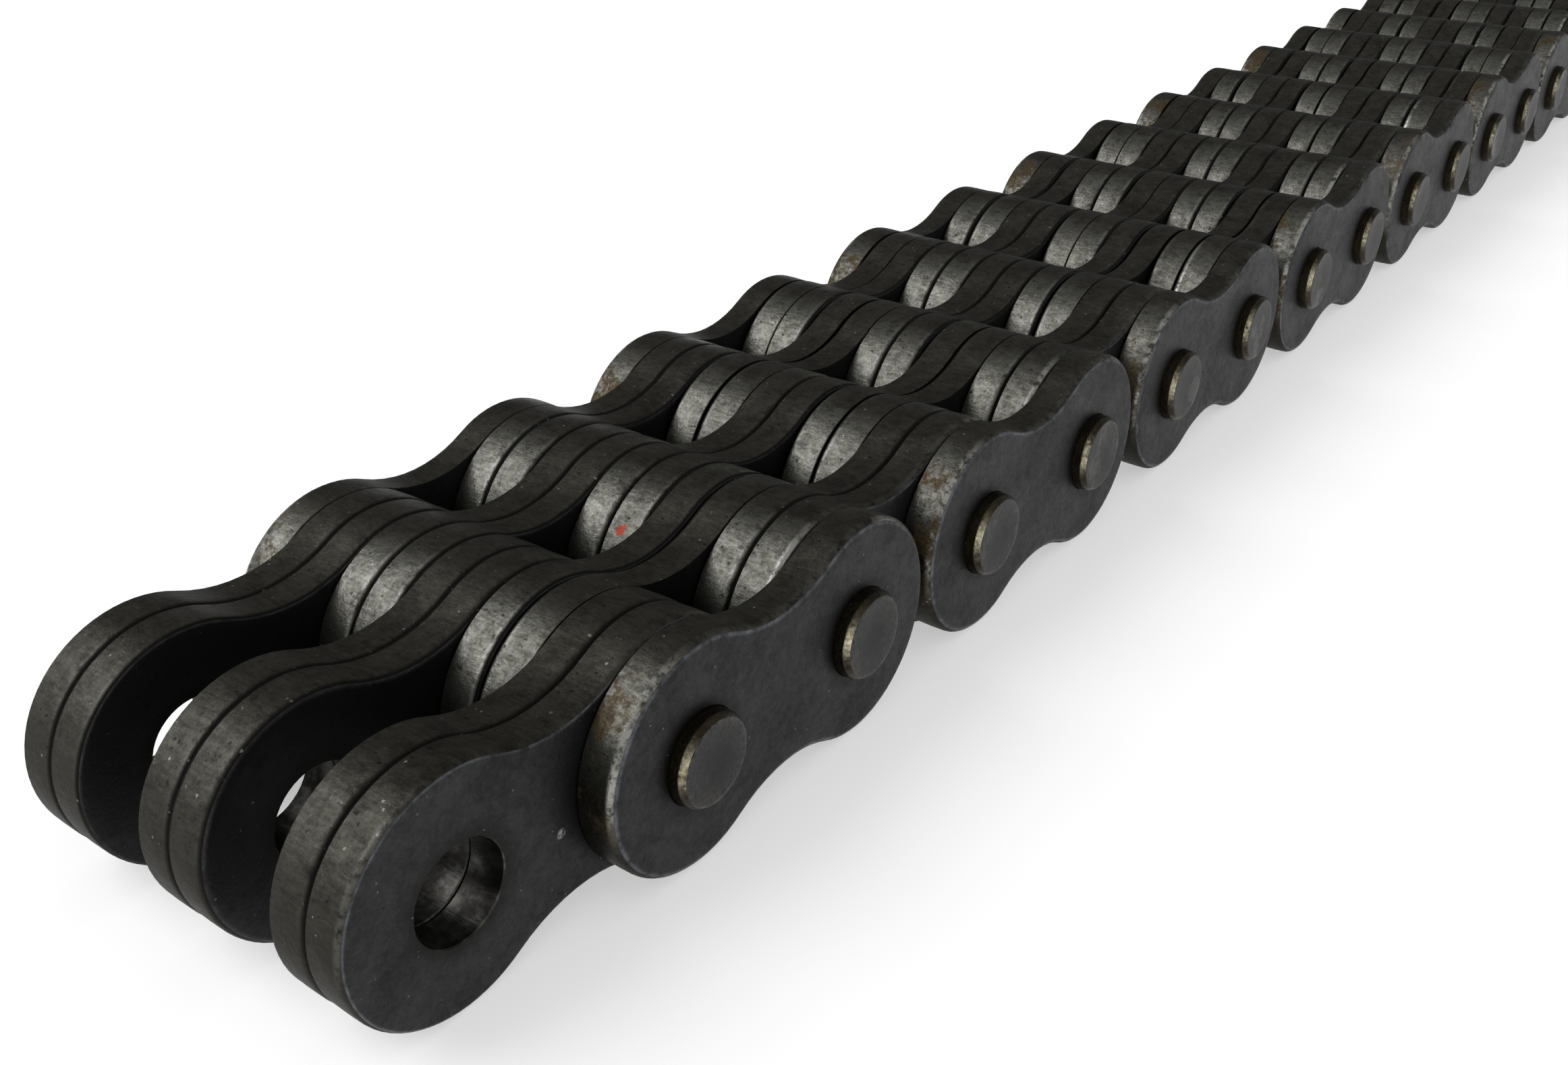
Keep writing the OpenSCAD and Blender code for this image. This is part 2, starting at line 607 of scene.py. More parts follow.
@dataclass(frozen=True)
class EdgeFinish(Finish):
    """Blanked edge of a plate: drawn streaks, worn bright on the round ends, with rusty stains, a worn
    rolled rim with a painted highlight, and painted shade low on the ends and deep in closed gaps.

    Heights are levels over the pins' middle line, between which an effect grows to full.
    """

    name: str = "blanked_plate_edge"
    metallic: float = 0.8
    relief: float = 0.022 * MM
    glance: float = 0.64
    roughness: float = 0.5
    dark: Colour = (0.0138, 0.0126, 0.0096)
    light: Colour = (0.067, 0.0643, 0.0525)
    worn: Colour = (0.178, 0.177, 0.157)
    worn_heights: Span = (0.0, 7.5 * MM)
    # Worn steel with a painted highlight on the rolled rim, stronger higher up
    rim: Colour = (0.40, 0.395, 0.355)
    rim_heights: Span = (-5 * MM, 4 * MM)
    # Brown soil with painted shade, stronger lower down on the round ends
    brown: Colour = (0.0185, 0.0170, 0.0110)
    brown_heights: Span = (8 * MM, 0.0)
    rust: Colour = (0.030, 0.0182, 0.0078)
    ochre: Colour = (0.084, 0.062, 0.028)
    rust_heights: Span = (-6 * MM, 3 * MM)
    rust_metal: float = 0.55
    # Dark colour of smudges and pits, also used for oil and painted shade deep in closed gaps
    dirt_and_shade: Colour = (0.007, 0.0062, 0.005)
    dust: Colour = (0.26, 0.26, 0.245)
    paint: Colour = (0.19, 0.027, 0.016)
    paint_spot: Point = (41.88 * MM, -1.64 * MM, 8.12 * MM)
    paint_reach: float = 1.0 * MM

    def dress(self, sheet: SteelSheet) -> None:
        """Paints streaks, bright worn ends, worn rims with a painted highlight, brown soil with painted
        shade lower down, rust, dirt, oil and painted shade deep in closed gaps, dust and a fleck of
        paint.

        Args:
            sheet: The material's nodes.
        """
        tip = sheet.read("tip")
        shut = sheet.read("shut")
        wear = sheet.read("wear")
        level = sheet.feed(sheet.add("SeparateXYZ"), sheet.place).outputs["Z"]
        streaks = sheet.mask("blanking_streaks", 2600.0)
        clouds = sheet.mask("mottle", 380.0, 0.2)
        patches = sheet.mask("mottle", 1000.0, 0.16)
        grain = sheet.mask("mottle", 3000.0, 0.2)
        fine_pits = sheet.mask("specks", 1700.0, 0.12)
        wide_pits = sheet.mask("specks", 560.0, 0.10)
        pits = sheet.math("MAXIMUM", fine_pits, sheet.product(wide_pits, grain))
        dust = sheet.mask("specks", 1900.0, 0.12)
        stains = sheet.mask("stains", 190.0, 0.54)
        smudges = sheet.mask("stains", 120.0, 0.46)

        share = sheet.total((clouds, 0.33), (streaks, 0.28), (grain, 0.2), (patches, 0.19))
        end_band = sheet.ramp(tip, 0.05, 0.55)
        rubbed = sheet.total((grain, 0.3), (streaks, 0.3), (patches, 0.3), (clouds, 0.3))
        worn = sheet.product(end_band, wear, sheet.ramp(level, *self.worn_heights), rubbed)
        soil_and_shade = sheet.ramp(sheet.total((clouds, 0.5), (patches, 0.4), (smudges, 0.2)), 0.0, 0.7)
        # Worn rolled rim with a painted highlight: stronger higher up, on worn ends and on open plates
        rim = sheet.product(
            sheet.rolled_band(0.02, 0.07),
            sheet.ramp(sheet.total((clouds, 0.45), (patches, 0.55)), 0.15, 0.65),
            sheet.ramp(level, *self.rim_heights),
            sheet.ramp(wear, 0.1, 1.0, 0.15, 1.0),
            sheet.ramp(shut, 0.0, 1.0, 1.0, 0.3),
            sheet.ramp(tip, 0.05, 0.5, 0.08, 1.0),
        )
        rust_end = sheet.ramp(tip, 0.0, 0.45)
        rust_level = sheet.ramp(level, *self.rust_heights, 0.3, 1.0)
        rust_share = sheet.product(stains, sheet.read("rust"), rust_end, rust_level)
        rusty = sheet.ramp(rust_share, 0.05, 0.6)
        # Oil and painted shade deep in closed gaps, next to the rolled face
        groove_oil_and_shade = sheet.product(sheet.ramp(sheet.read("across"), 0.15, 0.05), shut)
        fleck = sheet.near(self.paint_spot, self.paint_reach)
        colour = sheet.coat(
            sheet.blend(share, self.dark, self.light),
            (self.dirt_and_shade, smudges, 0.4),
            (self.worn, worn),
            # Brown soil with painted shade, stronger lower down
            (self.brown, end_band, sheet.ramp(level, *self.brown_heights), soil_and_shade),
            (self.rim, rim),
            (sheet.blend(grain, self.rust, self.ochre), rusty),
            (self.dirt_and_shade, sheet.math("MAXIMUM", groove_oil_and_shade, sheet.product(pits, 0.75))),
            (self.dust, dust, sheet.ramp(clouds, 0.4, 1.0)),
            (self.paint, sheet.ramp(sheet.total((fleck, 1.0), (grain, 0.9)), 1.02, 1.2)),
        )

        bright = sheet.math("MAXIMUM", worn, rim)
        polish = sheet.total((bright, -0.20), (rusty, 0.16), (share, -0.06))
        roughness = sheet.math("ADD", polish, self.roughness)
        sheet.join(
            colour, roughness, sheet.total((grain, 0.45), (streaks, 0.3), (pits, -1.0), (patches, 0.7))
        )
        metallic = sheet.ramp(rusty, 0.0, 1.0, self.metallic, self.rust_metal * self.metallic)
        sheet.feed(sheet.shader, Metallic=metallic)


@dataclass(frozen=True)
class BoreFinish(Finish):
    """Wall of a hole, pierced and then rubbed bright by the pin."""

    name: str = "rubbed_bore"
    metallic: float = 0.9
    relief: float = 0.012 * MM
    roughness: float = 0.34
    bright: Colour = (0.125, 0.123, 0.114)
    dull: Colour = (0.020, 0.019, 0.017)

    def dress(self, sheet: SteelSheet) -> None:
        """Paints bright rubbed patches over dull pierced steel.

        Args:
            sheet: The material's nodes.
        """
        streaks = sheet.mask("blanking_streaks", 1800.0)
        clouds = sheet.mask("mottle", 350.0, 0.16)
        share = sheet.product(sheet.total((streaks, 0.4), (clouds, 0.6)), clouds)
        sheet.join(sheet.blend(share, self.dull, self.bright), self.roughness, streaks)


@dataclass(frozen=True)
class PinWallFinish(Finish):
    """Straw-coloured wall and cone of a hardened pin, with brown oil and a painted glint of bright flecks
    on one side of the shoulder.
    """

    name: str = "straw_pin_wall"
    metallic: float = 0.95
    relief: float = 0.018 * MM
    roughness: Span = (0.44, 0.28)
    straw: Colour = (0.052, 0.0438, 0.0262)
    brown: Colour = (0.019, 0.0148, 0.0088)
    # Painted glint on one side of each pin's shoulder
    bright: Colour = (0.80, 0.73, 0.50)

    def dress(self, sheet: SteelSheet) -> None:
        """Paints straw and brown tones, and the painted glint on the shoulder.

        Args:
            sheet: The material's nodes.
        """
        clouds = sheet.mask("mottle", 420.0, 0.16)
        grain = sheet.mask("mottle", 2200.0, 0.2)
        flecks = sheet.mask("specks", 1500.0, 0.35)
        broken = sheet.total((flecks, 0.5), (grain, 0.6), (clouds, 0.4))
        colour = sheet.coat(
            sheet.blend(sheet.total((clouds, 0.65), (grain, 0.35)), self.brown, self.straw),
            # Painted glint on one side of the shoulder
            (self.bright, sheet.read("painted_glint"), broken),
        )
        roughness = sheet.ramp(grain, 0.0, 1.0, *self.roughness)
        sheet.join(colour, roughness, sheet.total((grain, 1.0), (flecks, 1.0)))


@dataclass(frozen=True)
class PinEndFinish(Finish):
    """Dished end face of a pin: dark grey with an oil stain and a painted highlight on its rim."""

    name: str = "dark_pin_end"
    metallic: float = 0.75
    relief: float = 0.012 * MM
    roughness: Span = (0.48, 0.34)
    dark: Colour = (0.0132, 0.0133, 0.0138)
    light: Colour = (0.0285, 0.0285, 0.0285)
    oil: Colour = (0.0150, 0.0112, 0.0068)
    # Painted highlight on the end's rim
    rim: Colour = (0.085, 0.083, 0.076)

    def dress(self, sheet: SteelSheet) -> None:
        """Paints grey clouds, the oil stain and the painted highlight on the rim.

        Args:
            sheet: The material's nodes.
        """
        clouds = sheet.mask("mottle", 350.0, 0.2)
        grain = sheet.mask("mottle", 2400.0, 0.25)
        oil = sheet.mask("stains", 170.0, 0.5)
        colour = sheet.coat(
            sheet.blend(sheet.total((clouds, 0.6), (grain, 0.4)), self.dark, self.light),
            (self.oil, oil, 0.8),
            # Painted highlight on the rim
            (self.rim, sheet.read("rim"), grain),
        )
        sheet.join(colour, sheet.ramp(oil, 0.0, 1.0, *self.roughness), grain)


@dataclass(frozen=True)
class ChainFinishes:
    """All materials of the chain, in the order of the plate's and the pin's zones."""

    plate: Materials
    pin: Materials

    @classmethod
    def build(cls, sizes: ChainSizes) -> "ChainFinishes":
        """Makes the node groups and the materials.

        Args:
            sizes: Sizes of the chain.

        Returns:
            The materials.
        """
        effects = SurfaceEffects(sizes)
        zones = ((FaceFinish(), EdgeFinish(), BoreFinish()), (PinWallFinish(), PinEndFinish()))
        return cls(*(tuple(finish.build(effects) for finish in finishes) for finishes in zones))


def save_mesh(bm: BMesh, name: str) -> Mesh:
    """Turns a modelled shape into a mesh.

    Args:
        bm: The modelled shape, which is freed.
        name: Name of the mesh.

    Returns:
        The mesh.
    """
    mesh = bpy.data.meshes.new(name)
    bm.to_mesh(mesh)
    bm.free()
    return mesh


def add_object(name: str, data: ID) -> Object:
    """Puts an object into the scene.

    Args:
        name: Name of the object.
        data: Its mesh, lamp or camera.

    Returns:
        The object.
    """
    thing = bpy.data.objects.new(name, data)
    bpy.context.scene.collection.objects.link(thing)
    return thing


class Piece:
    """A mesh under construction that becomes one piece of the chain."""

    def __init__(self, name: str) -> None:
        """Opens an empty mesh."""
        self.name = name
        self.bm = bmesh.new()

    def take(self, shape: Mesh, place: Vector, **numbers: float) -> None:
        """Sets a copy of a finished shape into the piece.

        Args:
            shape: The shape, about its own middle.
            place: Where its middle goes.
            numbers: What the materials read on all of this copy, by name.
        """
        first = len(self.bm.verts)
        self.bm.from_mesh(shape)
        self.bm.verts.ensure_lookup_table()
        added = self.bm.verts[first:]
        for name, number in numbers.items():
            layer = self.bm.verts.layers.float[name]
            for vert in added:
                vert[layer] = number
        bmesh.ops.translate(self.bm, verts=added, vec=place)

    def finish(self, materials: Materials, body: str, node: str, slot: str) -> None:
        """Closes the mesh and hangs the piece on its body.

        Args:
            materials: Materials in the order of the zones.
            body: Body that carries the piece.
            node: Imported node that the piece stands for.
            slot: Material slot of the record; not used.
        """
        mesh = save_mesh(self.bm, self.name)
        for material in materials:
            mesh.materials.append(material)
        thing = add_object(self.name, mesh)
        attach(thing, body)
        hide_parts(node)
        LOG.info("%s: %d faces on %s", self.name, len(mesh.polygons), body)


def close_shape(bm: BMesh, name: str) -> Mesh:
    """Shades a modelled shape smooth up to its sharp corners and turns it into a mesh.

    Args:
        bm: The modelled shape, which is freed.
        name: Name of the mesh.

    Returns:
        The mesh that pieces take copies of.
    """
    for edge in bm.edges:
        edge.smooth = edge.calc_face_angle(0.0) < SHARP_CORNER
    for face in bm.faces:
        face.smooth = True
    return save_mesh(bm, name)


@dataclass(frozen=True)
class LeafPlate:
    """Shape of a blanked plate, about its own middle. Growth is a factor on its rolled edge's width."""

    sizes: ChainSizes
    hole_radius: float
    rolled: RolledSide
    growth: float
    edge: EdgeForm = EdgeForm()
    end_steps: int = 46
    waist_steps: int = 10
    bore_steps: int = 44
    bore_break: float = 0.12 * MM
    bore_ring: float = 0.9 * MM

    def mesh(self) -> Mesh:
        """Models the plate.

        Returns:
            A closed mesh with its zones and the numbers that the materials read.
        """
        bm = bmesh.new()
        self._sweep_outline(bm)
        bmesh.ops.remove_doubles(bm, verts=bm.verts[:], dist=MERGE_DISTANCE)
        for face in bm.faces:
            face.material_index = PlateZone.EDGE
        edge_faces = set(bm.faces)
        for side in (-1, 1):
            self._pierce(bm, side * self.sizes.pitch / 2)
        for face in set(bm.faces) - edge_faces:
            face.material_index = PlateZone.BORE
        self._close_faces(bm)
        bmesh.ops.translate(bm, verts=bm.verts[:], vec=(0, -self.sizes.plate_thickness / 2, 0))
        bmesh.ops.recalc_face_normals(bm, faces=bm.faces[:])
        for face in bm.faces:
            if abs(face.normal.y) > FLAT_NORMAL:
                face.material_index = PlateZone.FACE
        self._number_verts(bm)
        if self.rolled is RolledSide.LEFT:
            bmesh.ops.scale(bm, verts=bm.verts[:], vec=(1, -1, 1))
            bmesh.ops.reverse_faces(bm, faces=bm.faces[:])
        return close_shape(bm, "leaf_plate")

    def _sweep_outline(self, bm: BMesh) -> None:
        """Spins the edge's cross-section around both round ends and both waists.

        Args:
            bm: Mesh that receives the swept edge.
        """
        sizes = self.sizes
        lean = math.atan2(sizes.waist_centre, sizes.pitch / 2)
        front = Vector((sizes.pitch / 2, 0, 0))
        below = Vector((0, 0, -sizes.waist_centre))
        outwards = (below - front).normalized()
        profile = []
        for offset, height in self.edge.profile(sizes.plate_thickness, self.growth):
            place = front + outwards * (sizes.end_radius + offset) + Vector((0, height, 0))
            profile.append(bm.verts.new(place))
        strip: list[Any] = [bm.edges.new(pair) for pair in zip(profile, profile[1:])]
        strip += profile
        end_turn = 2 * (math.pi - lean)
        waist_turn = -2 * (math.pi / 2 - lean)
        stations = (
            (front, end_turn, self.end_steps),
            (-below, waist_turn, self.waist_steps),
            (-front, end_turn, self.end_steps),
            (below, waist_turn, self.waist_steps),
        )
        for centre, turn, steps in stations:
            swept = bmesh.ops.spin(bm, geom=strip, cent=centre, axis=(0, -1, 0), angle=turn, steps=steps)
            strip = swept["geom_last"]

    def _pierce(self, bm: BMesh, centre: float) -> None:
        """Spins the wall of one hole, with broken edges and a narrow ring on both faces.

        Args:
            bm: Mesh that receives the wall.
            centre: Place of the hole along the plate.
        """
        thickness = self.sizes.plate_thickness
        ring = self.hole_radius + self.bore_ring
        mouth = self.hole_radius + self.bore_break
        points = (
            (ring, 0.0),
            (mouth, 0.0),
            (self.hole_radius, self.bore_break),
            (self.hole_radius, thickness - self.bore_break),
            (mouth, thickness),
            (ring, thickness),
        )
        turn_profile(bm, points, centre, self.bore_steps)

    def _close_faces(self, bm: BMesh) -> None:
        """Fills both flat faces between the swept edge and the holes.

        Args:
            bm: Mesh with the swept edge and the walls of both holes.
        """
        rims = [edge for edge in bm.edges if edge.is_boundary]
        middle = self.sizes.plate_thickness / 2
        for side in (-1, 1):
            loop = [edge for edge in rims if (edge.verts[0].co.y - middle) * side > 0]
            bmesh.ops.triangle_fill(bm, edges=loop, use_beauty=True, normal=(0, side, 0))

    def _number_verts(self, bm: BMesh) -> None:
        """Writes how far each vertex lies towards a tip, and how far from the rolled face.

        Args:
            bm: The plate's closed mesh.
        """
        for name in ("tone", "rust", "shut", "wear"):
            bm.verts.layers.float.new(name)
        tip = bm.verts.layers.float.new("tip")
        across = bm.verts.layers.float.new("across")
        for vert in bm.verts:
            vert[tip] = (abs(vert.co.x) - self.sizes.pitch / 2) / self.sizes.end_radius
            vert[across] = vert.co.y / self.sizes.plate_thickness + 0.5


def turn_profile(bm: BMesh, points: Iterable[Span], centre: float, steps: int) -> None:
    """Turns a profile once round an axis along Y.

    Args:
        bm: Mesh that receives the turned surface.
        points: Radius and height of the profile's points.
        centre: Place of the axis along X.
        steps: Number of steps in the turn.
    """
    profile = [bm.verts.new((centre + radius, height, 0)) for radius, height in points]
    outline: list[Any] = [bm.edges.new(pair) for pair in zip(profile, profile[1:])]
    bmesh.ops.spin(
        bm,
        geom=outline + profile,
        cent=(centre, 0, 0),
        axis=(0, 1, 0),
        angle=2 * math.pi,
        steps=steps,
        use_merge=True,
    )


@dataclass(frozen=True)
class PressedPin:
    """Shape of a hardened pin with coned and slightly dished ends, in metres and degrees."""

    sizes: ChainSizes
    cone_height: float = 0.6 * MM
    cone_width: float = 0.45 * MM
    dish_rim: float = 0.5 * MM
    dish_depth: float = 0.15 * MM
    dish_floor: float = 0.35
    blunt: float = 0.14 * MM
    blunt_steps: int = 3
    rim_start: float = 0.8
    # Side and narrowness of the painted glint on the shoulder
    glint_angle: float = 158.0
    glint_sharpness: int = 14
    steps: int = 48

    @property
    def face_radius(self) -> float:
        """Radius of an end face."""
        return self.sizes.pin_radius - self.cone_width

    def mesh(self) -> Mesh:
        """Models the pin.

        Returns:
            A closed mesh with its zones and the numbers that the materials read.
        """
        bm = bmesh.new()
        length = self.sizes.pin_half_length
        dish_radius = self.face_radius - self.dish_rim
        half = (
            (self.sizes.pin_radius, length - self.cone_height),
            (self.face_radius, length),
            (dish_radius, length),
            (self.dish_floor * dish_radius, length - self.dish_depth),
            (0.0, length - self.dish_depth),
        )
        points = [(across, -along) for across, along in reversed(half)]
        turn_profile(bm, points + list(half), 0.0, self.steps)
        bmesh.ops.remove_doubles(bm, verts=bm.verts[:], dist=MERGE_DISTANCE)
        bmesh.ops.recalc_face_normals(bm, faces=bm.faces[:])
        self._blunt_corners(bm)
        self._number_verts(bm)
        for face in bm.faces:
            middle = face.calc_center_median()
            inside = math.hypot(middle.x, middle.z) < self.face_radius
            face.material_index = PinZone.END if inside else PinZone.WALL
        return close_shape(bm, "pressed_pin")

    def _number_verts(self, bm: BMesh) -> None:
        """Writes how near each vertex is to an end's rim, for the painted highlight there, and how much
        painted glint it gets on the shoulder.

        Args:
            bm: The pin's closed mesh.
        """
        bm.verts.layers.float.new("tone")
        rim = bm.verts.layers.float.new("rim")
        painted_glint = bm.verts.layers.float.new("painted_glint")
        shoulder_start = self.sizes.pin_half_length - self.cone_height - self.blunt
        for vert in bm.verts:
            reach = math.hypot(vert.co.x, vert.co.z) / self.face_radius
            # Where the painted highlight on the end's rim lies
            vert[rim] = min(max((reach - self.rim_start) / (1 - self.rim_start), 0.0), 1.0)
            # Painted glint on one side of the shoulder
            if abs(vert.co.y) > shoulder_start:
                turn = math.atan2(vert.co.z, vert.co.x) - math.radians(self.glint_angle)
                vert[painted_glint] = max(math.cos(turn), 0.0) ** self.glint_sharpness

    def _blunt_corners(self, bm: BMesh) -> None:
        """Rounds the rings where the cone meets the wall and the end face.

        Args:
            bm: The pin's closed mesh.
        """
        corners = []
        for edge in bm.edges:
            level = abs(edge.verts[0].co.y - edge.verts[1].co.y) < MERGE_DISTANCE
            if level and edge.calc_face_angle(0.0) > BLUNT_CORNER:
                corners.append(edge)
        bmesh.ops.bevel(
            bm,
            geom=corners,
            offset=self.blunt,
            offset_type="OFFSET",
            affect="EDGES",
            segments=self.blunt_steps,
            profile=0.5,
            material=-1,
            clamp_overlap=True,
        )


class ShapeStore:
    """Keeps each plate and pin shape, so that it is modelled once."""

    # Factors on the width of the rolled edge: each inner plate draws one, and outer plates share one
    growths = (0.75, 0.95, 1.15, 1.35)
    outer_growth = 1.6

    def __init__(self, sizes: ChainSizes) -> None:
        """Models the pin, and opens an empty store of plates.

        Args:
            sizes: Sizes of the chain.
        """
        self.sizes = sizes
        self.plates: dict[tuple[float, RolledSide, float], Mesh] = {}
        self.pin = PressedPin(sizes).mesh()

    def plate(self, hole_radius: float, rolled: RolledSide, growth: float) -> Mesh:
        """Gives a plate's shape.

        Args:
            hole_radius: Radius of both holes.
            rolled: Side to which the rolled edge points.
            growth: Factor on the width of the rolled edge.

        Returns:
            The plate's mesh.
        """
        key = (hole_radius, rolled, growth)
        if key not in self.plates:
            self.plates[key] = LeafPlate(self.sizes, *key).mesh()
        return self.plates[key]

    def clear(self) -> None:
        """Removes the shapes once every piece has its copies."""
        for mesh in (*self.plates.values(), self.pin):
            bpy.data.meshes.remove(mesh)


@dataclass(frozen=True)
class ChainLink:
    """A link of the chain: what inner and outer links share."""

    number: int
    shapes: ShapeStore
    finishes: ChainFinishes

    @property
    def body(self) -> str:
        """Name of the body that carries the link."""
        return f"link_{self.number:02d}"

    @property
    def rubbed(self) -> bool:
        """Tells whether both ends of the link rub against neighbours."""
        return 1 < self.number < self.shapes.sizes.link_count

    def lay_plates(
        self, piece_name: str, node: str, rows: tuple[int, ...], hole: float, slot: SteelSlot
    ) -> None:
        """Makes one piece of the plates that share a node.

        Args:
            piece_name: What the piece is called within its link.
            node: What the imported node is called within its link.
            rows: Rows of the plates.
            hole: Radius of the plates' holes.
            slot: Material slot of the record.
        """
        piece = Piece(f"{self.body}_{piece_name}")
        sizes = self.shapes.sizes
        outer = slot is SteelSlot.OUTER_PLATE
        for row in rows:
            draw = random.Random(f"plate {self.number} {row}")
            growth = self.shapes.outer_growth if outer else draw.choice(self.shapes.growths)
            shape = self.shapes.plate(hole, self.rolled_side(row), growth)
            place = Vector(((self.number - 0.5) * sizes.pitch, (row + 0.5) * sizes.row_pitch, 0))
            piece.take(
                shape,
                place,
                tone=draw.uniform(0.0, TONE_RANGE),
                rust=draw.uniform(*(OUTER_RUST if outer else INNER_RUST)),
                # Plates closed in at the side get painted shade on their faces and in their grooves
                shut=float(row not in OPEN_ROWS),
                wear=draw.uniform(*RUBBED_WEAR) if self.rubbed else UNRUBBED_WEAR,
            )
        piece.finish(self.finishes.plate, self.body, f"{self.body}_{node}", slot.value)

    def rolled_side(self, row: int) -> RolledSide:
        """Tells to which side the plate of a row was laid."""
        flipped = random.Random(f"side {self.number} {row}").random() < FLIPPED_SHARE
        return RolledSide.LEFT if flipped else RolledSide.RIGHT


@dataclass(frozen=True)
class InnerLink(ChainLink):
    """Three pairs of plates that turn on the pins."""

    right_rows: tuple[int, ...] = (-5, -4)
    centre_rows: tuple[int, ...] = (-1, 0)
    left_rows: tuple[int, ...] = (3, 4)

    def build(self) -> None:
        """Makes the link's three pieces."""
        hole = self.shapes.sizes.hole_radius
        pairs = {"right": self.right_rows, "centre": self.centre_rows, "left": self.left_rows}
        for side, rows in pairs.items():
            self.lay_plates(f"{side}_leaves", f"{side}_pair", rows, hole, SteelSlot.INNER_PLATE)


@dataclass(frozen=True)
class OuterLink(ChainLink):
    """Two pins, the two outer plates pressed onto them, and two pairs of middle plates."""

    right_row: int = -6
    left_row: int = 5
    middle_rows: tuple[int, ...] = (-3, -2, 1, 2)

    def build(self) -> None:
        """Makes the link's four pieces."""
        sizes = self.shapes.sizes
        press, turning = sizes.pin_radius, sizes.hole_radius
        leaves = (
            ("right_leaf", "right_plate", (self.right_row,), press, SteelSlot.OUTER_PLATE),
            ("middle_leaves", "middle_pairs", self.middle_rows, turning, SteelSlot.INNER_PLATE),
            ("left_leaf", "left_plate", (self.left_row,), press, SteelSlot.OUTER_PLATE),
        )
        for leaf in leaves:
            self.lay_plates(*leaf)
        piece = Piece(f"{self.body}_pressed_pins")
        for number in (self.number - 1, self.number):
            tone = random.Random(f"pin {number}").uniform(0.0, TONE_RANGE)
            piece.take(self.shapes.pin, Vector((number * sizes.pitch, 0, 0)), tone=tone)
        piece.finish(self.finishes.pin, self.body, f"{self.body}_pins", SteelSlot.PIN.value)

    def rolled_side(self, row: int) -> RolledSide:
        """Lays the outer plates with their rolled edges outwards."""
        outwards = {self.right_row: RolledSide.RIGHT, self.left_row: RolledSide.LEFT}
        return outwards.get(row) or super().rolled_side(row)


@dataclass(frozen=True)
class WideLight:
    """Soft light from a wide patch of sky, the same all over the scene. The spread is in degrees."""

    name: str
    source: Point
    spread: float
    strength: float

    def hang(self) -> None:
        """Adds the light to the scene."""
        lamp = bpy.data.lights.new(self.name, "SUN")
        lamp.angle = math.radians(self.spread)
        lamp.energy = self.strength
        towards = Vector(self.source).to_track_quat("Z", "Y")
        add_object(self.name, lamp).rotation_euler = towards.to_euler()


@dataclass(frozen=True)
class PhotoCamera:
    """Camera at the photograph's viewing angle. Places are in pitches, and angles in degrees."""

    place: Point = (-2.411, -3.914, 3.393)
    yaw: float = 36.69
    tilt: float = -29.11
    roll: float = -0.53
    focal_pixels: float = 2327.0
    image_width: float = 2324.0
    sensor_width: float = 36.0
    clip: Span = (0.005, 100.0)

    def stand(self, pitch: float) -> None:
        """Sets the camera up as the scene's camera.

        Args:
            pitch: Pitch of the chain in metres.
        """
        yaw, tilt, roll = (math.radians(angle) for angle in (self.yaw, self.tilt, self.roll))
        ahead = Vector((math.cos(tilt) * math.cos(yaw), math.cos(tilt) * math.sin(yaw), math.sin(tilt)))
        level = ahead.cross(Vector((0, 0, 1))).normalized()
        above = level.cross(ahead)
        across = math.cos(roll) * level + math.sin(roll) * above
        upright = math.cos(roll) * above - math.sin(roll) * level
        data = bpy.data.cameras.new("photo_camera")
        data.sensor_fit = "HORIZONTAL"
        data.sensor_width = self.sensor_width
        data.lens = self.focal_pixels * self.sensor_width / self.image_width
        data.clip_start, data.clip_end = self.clip
        thing = add_object("photo_camera", data)
        turn = Matrix((across, upright, -ahead)).transposed().to_4x4()
        thing.matrix_world = Matrix.Translation(Vector(self.place) * pitch) @ turn
        bpy.context.scene.camera = thing


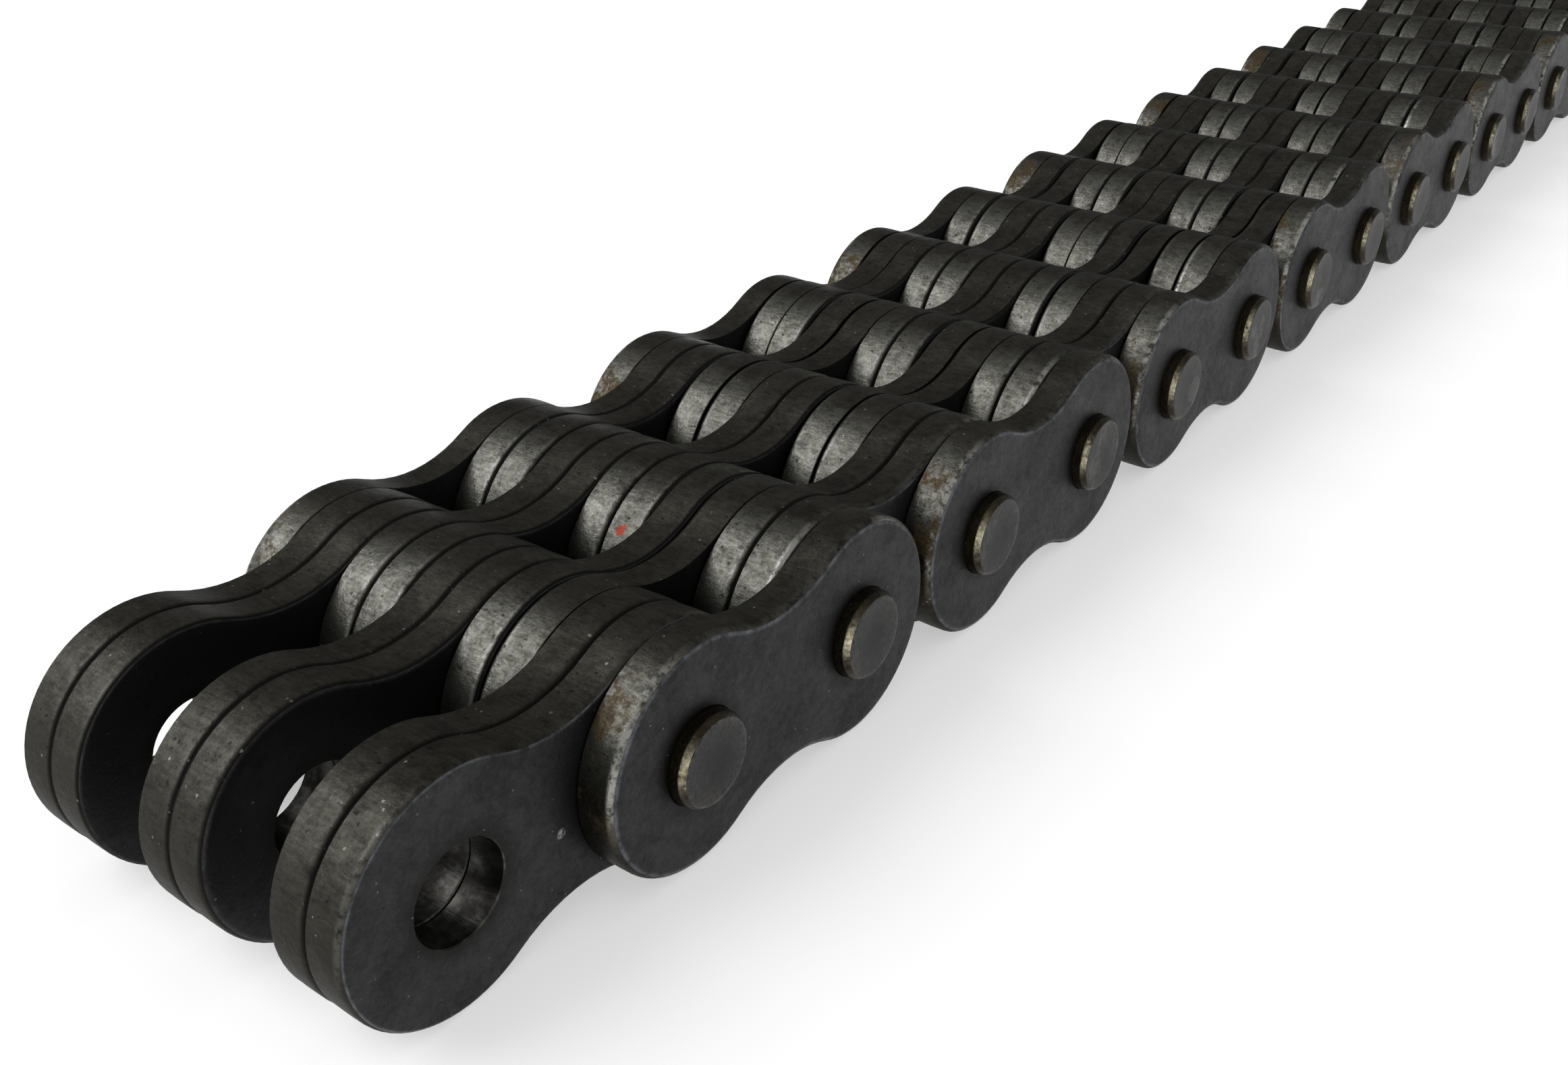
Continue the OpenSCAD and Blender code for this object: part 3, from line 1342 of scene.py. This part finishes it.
@dataclass(frozen=True)
class Studio:
    """Plain pale floor, soft light and the camera."""

    sizes: ChainSizes
    floor_half: float = 15.0
    floor_colour: Colour = (0.8, 0.8, 0.8)
    floor_lift: float = 0.48
    room_side: Point = (-0.6, -0.8, 0.0)
    room_greys: Span = (0.20, 0.60)
    key: WideLight = WideLight("key_sky", (-0.45, 0.58, 0.68), 48.0, 1.6)
    camera: PhotoCamera = PhotoCamera()

    def build(self) -> None:
        """Sets up the floor, the room, the light and the camera."""
        bpy.context.scene.view_settings.view_transform = "Standard"
        self._lay_floor()
        self._paint_room()
        self.key.hang()
        self.camera.stand(self.sizes.pitch)
        LOG.info("studio: floor, room, one wide light and the camera")

    def _lay_floor(self) -> None:
        """Lays the floor under the chain."""
        bm = bmesh.new()
        bmesh.ops.create_grid(bm, x_segments=1, y_segments=1, size=self.floor_half)
        bmesh.ops.translate(bm, verts=bm.verts[:], vec=(0, 0, CAD_BOX[0][2]))
        mesh = save_mesh(bm, "floor")
        mesh.materials.append(self._floor_material())
        floor = add_object("floor", mesh)

    def _floor_material(self) -> Material:
        """Paints the floor, and lifts its tone to white where it is seen.

        Reflections get the lift as a glow. The camera gets it by looking through the floor to the white
        room, so that a part of the chain that hangs below the floor still shows faintly.

        Returns:
            The floor's material.
        """
        material = bpy.data.materials.new("pale_floor")
        material.use_nodes = True
        sheet = NodeSheet(material.node_tree)
        nodes = material.node_tree.nodes
        nodes.remove(nodes["Principled BSDF"])
        path = sheet.add("LightPath").outputs
        mirrored = sheet.math("MAXIMUM", path["Is Glossy Ray"], path["Is Transmission Ray"])
        glow = sheet.product(mirrored, self.floor_lift)
        clear = sheet.product(path["Is Camera Ray"], self.floor_lift)
        lifts = (
            sheet.feed(sheet.add("Emission"), Strength=glow),
            sheet.feed(sheet.add("BsdfTransparent"), Color=clear),
        )
        surface = sheet.feed(sheet.add("BsdfDiffuse"), Color=self.floor_colour).outputs[0]
        for lift in lifts:
            surface = sheet.feed(sheet.add("AddShader"), surface, lift.outputs[0]).outputs[0]
        sheet.put(nodes["Material Output"].inputs["Surface"], surface)
        return material

    def _paint_room(self) -> None:
        """Makes the room lighter on one side, and white where the camera looks past the floor."""
        world = bpy.data.worlds.new("studio_room")
        world.use_nodes = True
        sheet = NodeSheet(world.node_tree)
        camera_ray = sheet.add("LightPath").outputs["Is Camera Ray"]
        looked = sheet.add("TexCoord").outputs["Generated"]
        aim = sheet.vector("DOT_PRODUCT", looked, self.room_side)
        grey = sheet.ramp(aim.outputs["Value"], -1.0, 1.0, *self.room_greys)
        strength = sheet.math("MAXIMUM", grey, camera_ray)
        sheet.feed(world.node_tree.nodes["Background"], Color=(1.0, 1.0, 1.0), Strength=strength)
        bpy.context.scene.world = world


def main() -> None:
    """Builds the chain link by link, then the studio around it."""
    logging.basicConfig(level=logging.INFO, format="%(message)s")
    sizes = ChainSizes.from_frame()
    finishes = ChainFinishes.build(sizes)
    shapes = ShapeStore(sizes)
    for number in range(1, len(frame["bodies"]) + 1):
        kind = InnerLink if number % 2 else OuterLink
        kind(number, shapes, finishes).build()
    shapes.clear()
    Studio(sizes).build()


if __name__ == "__main__":
    main()
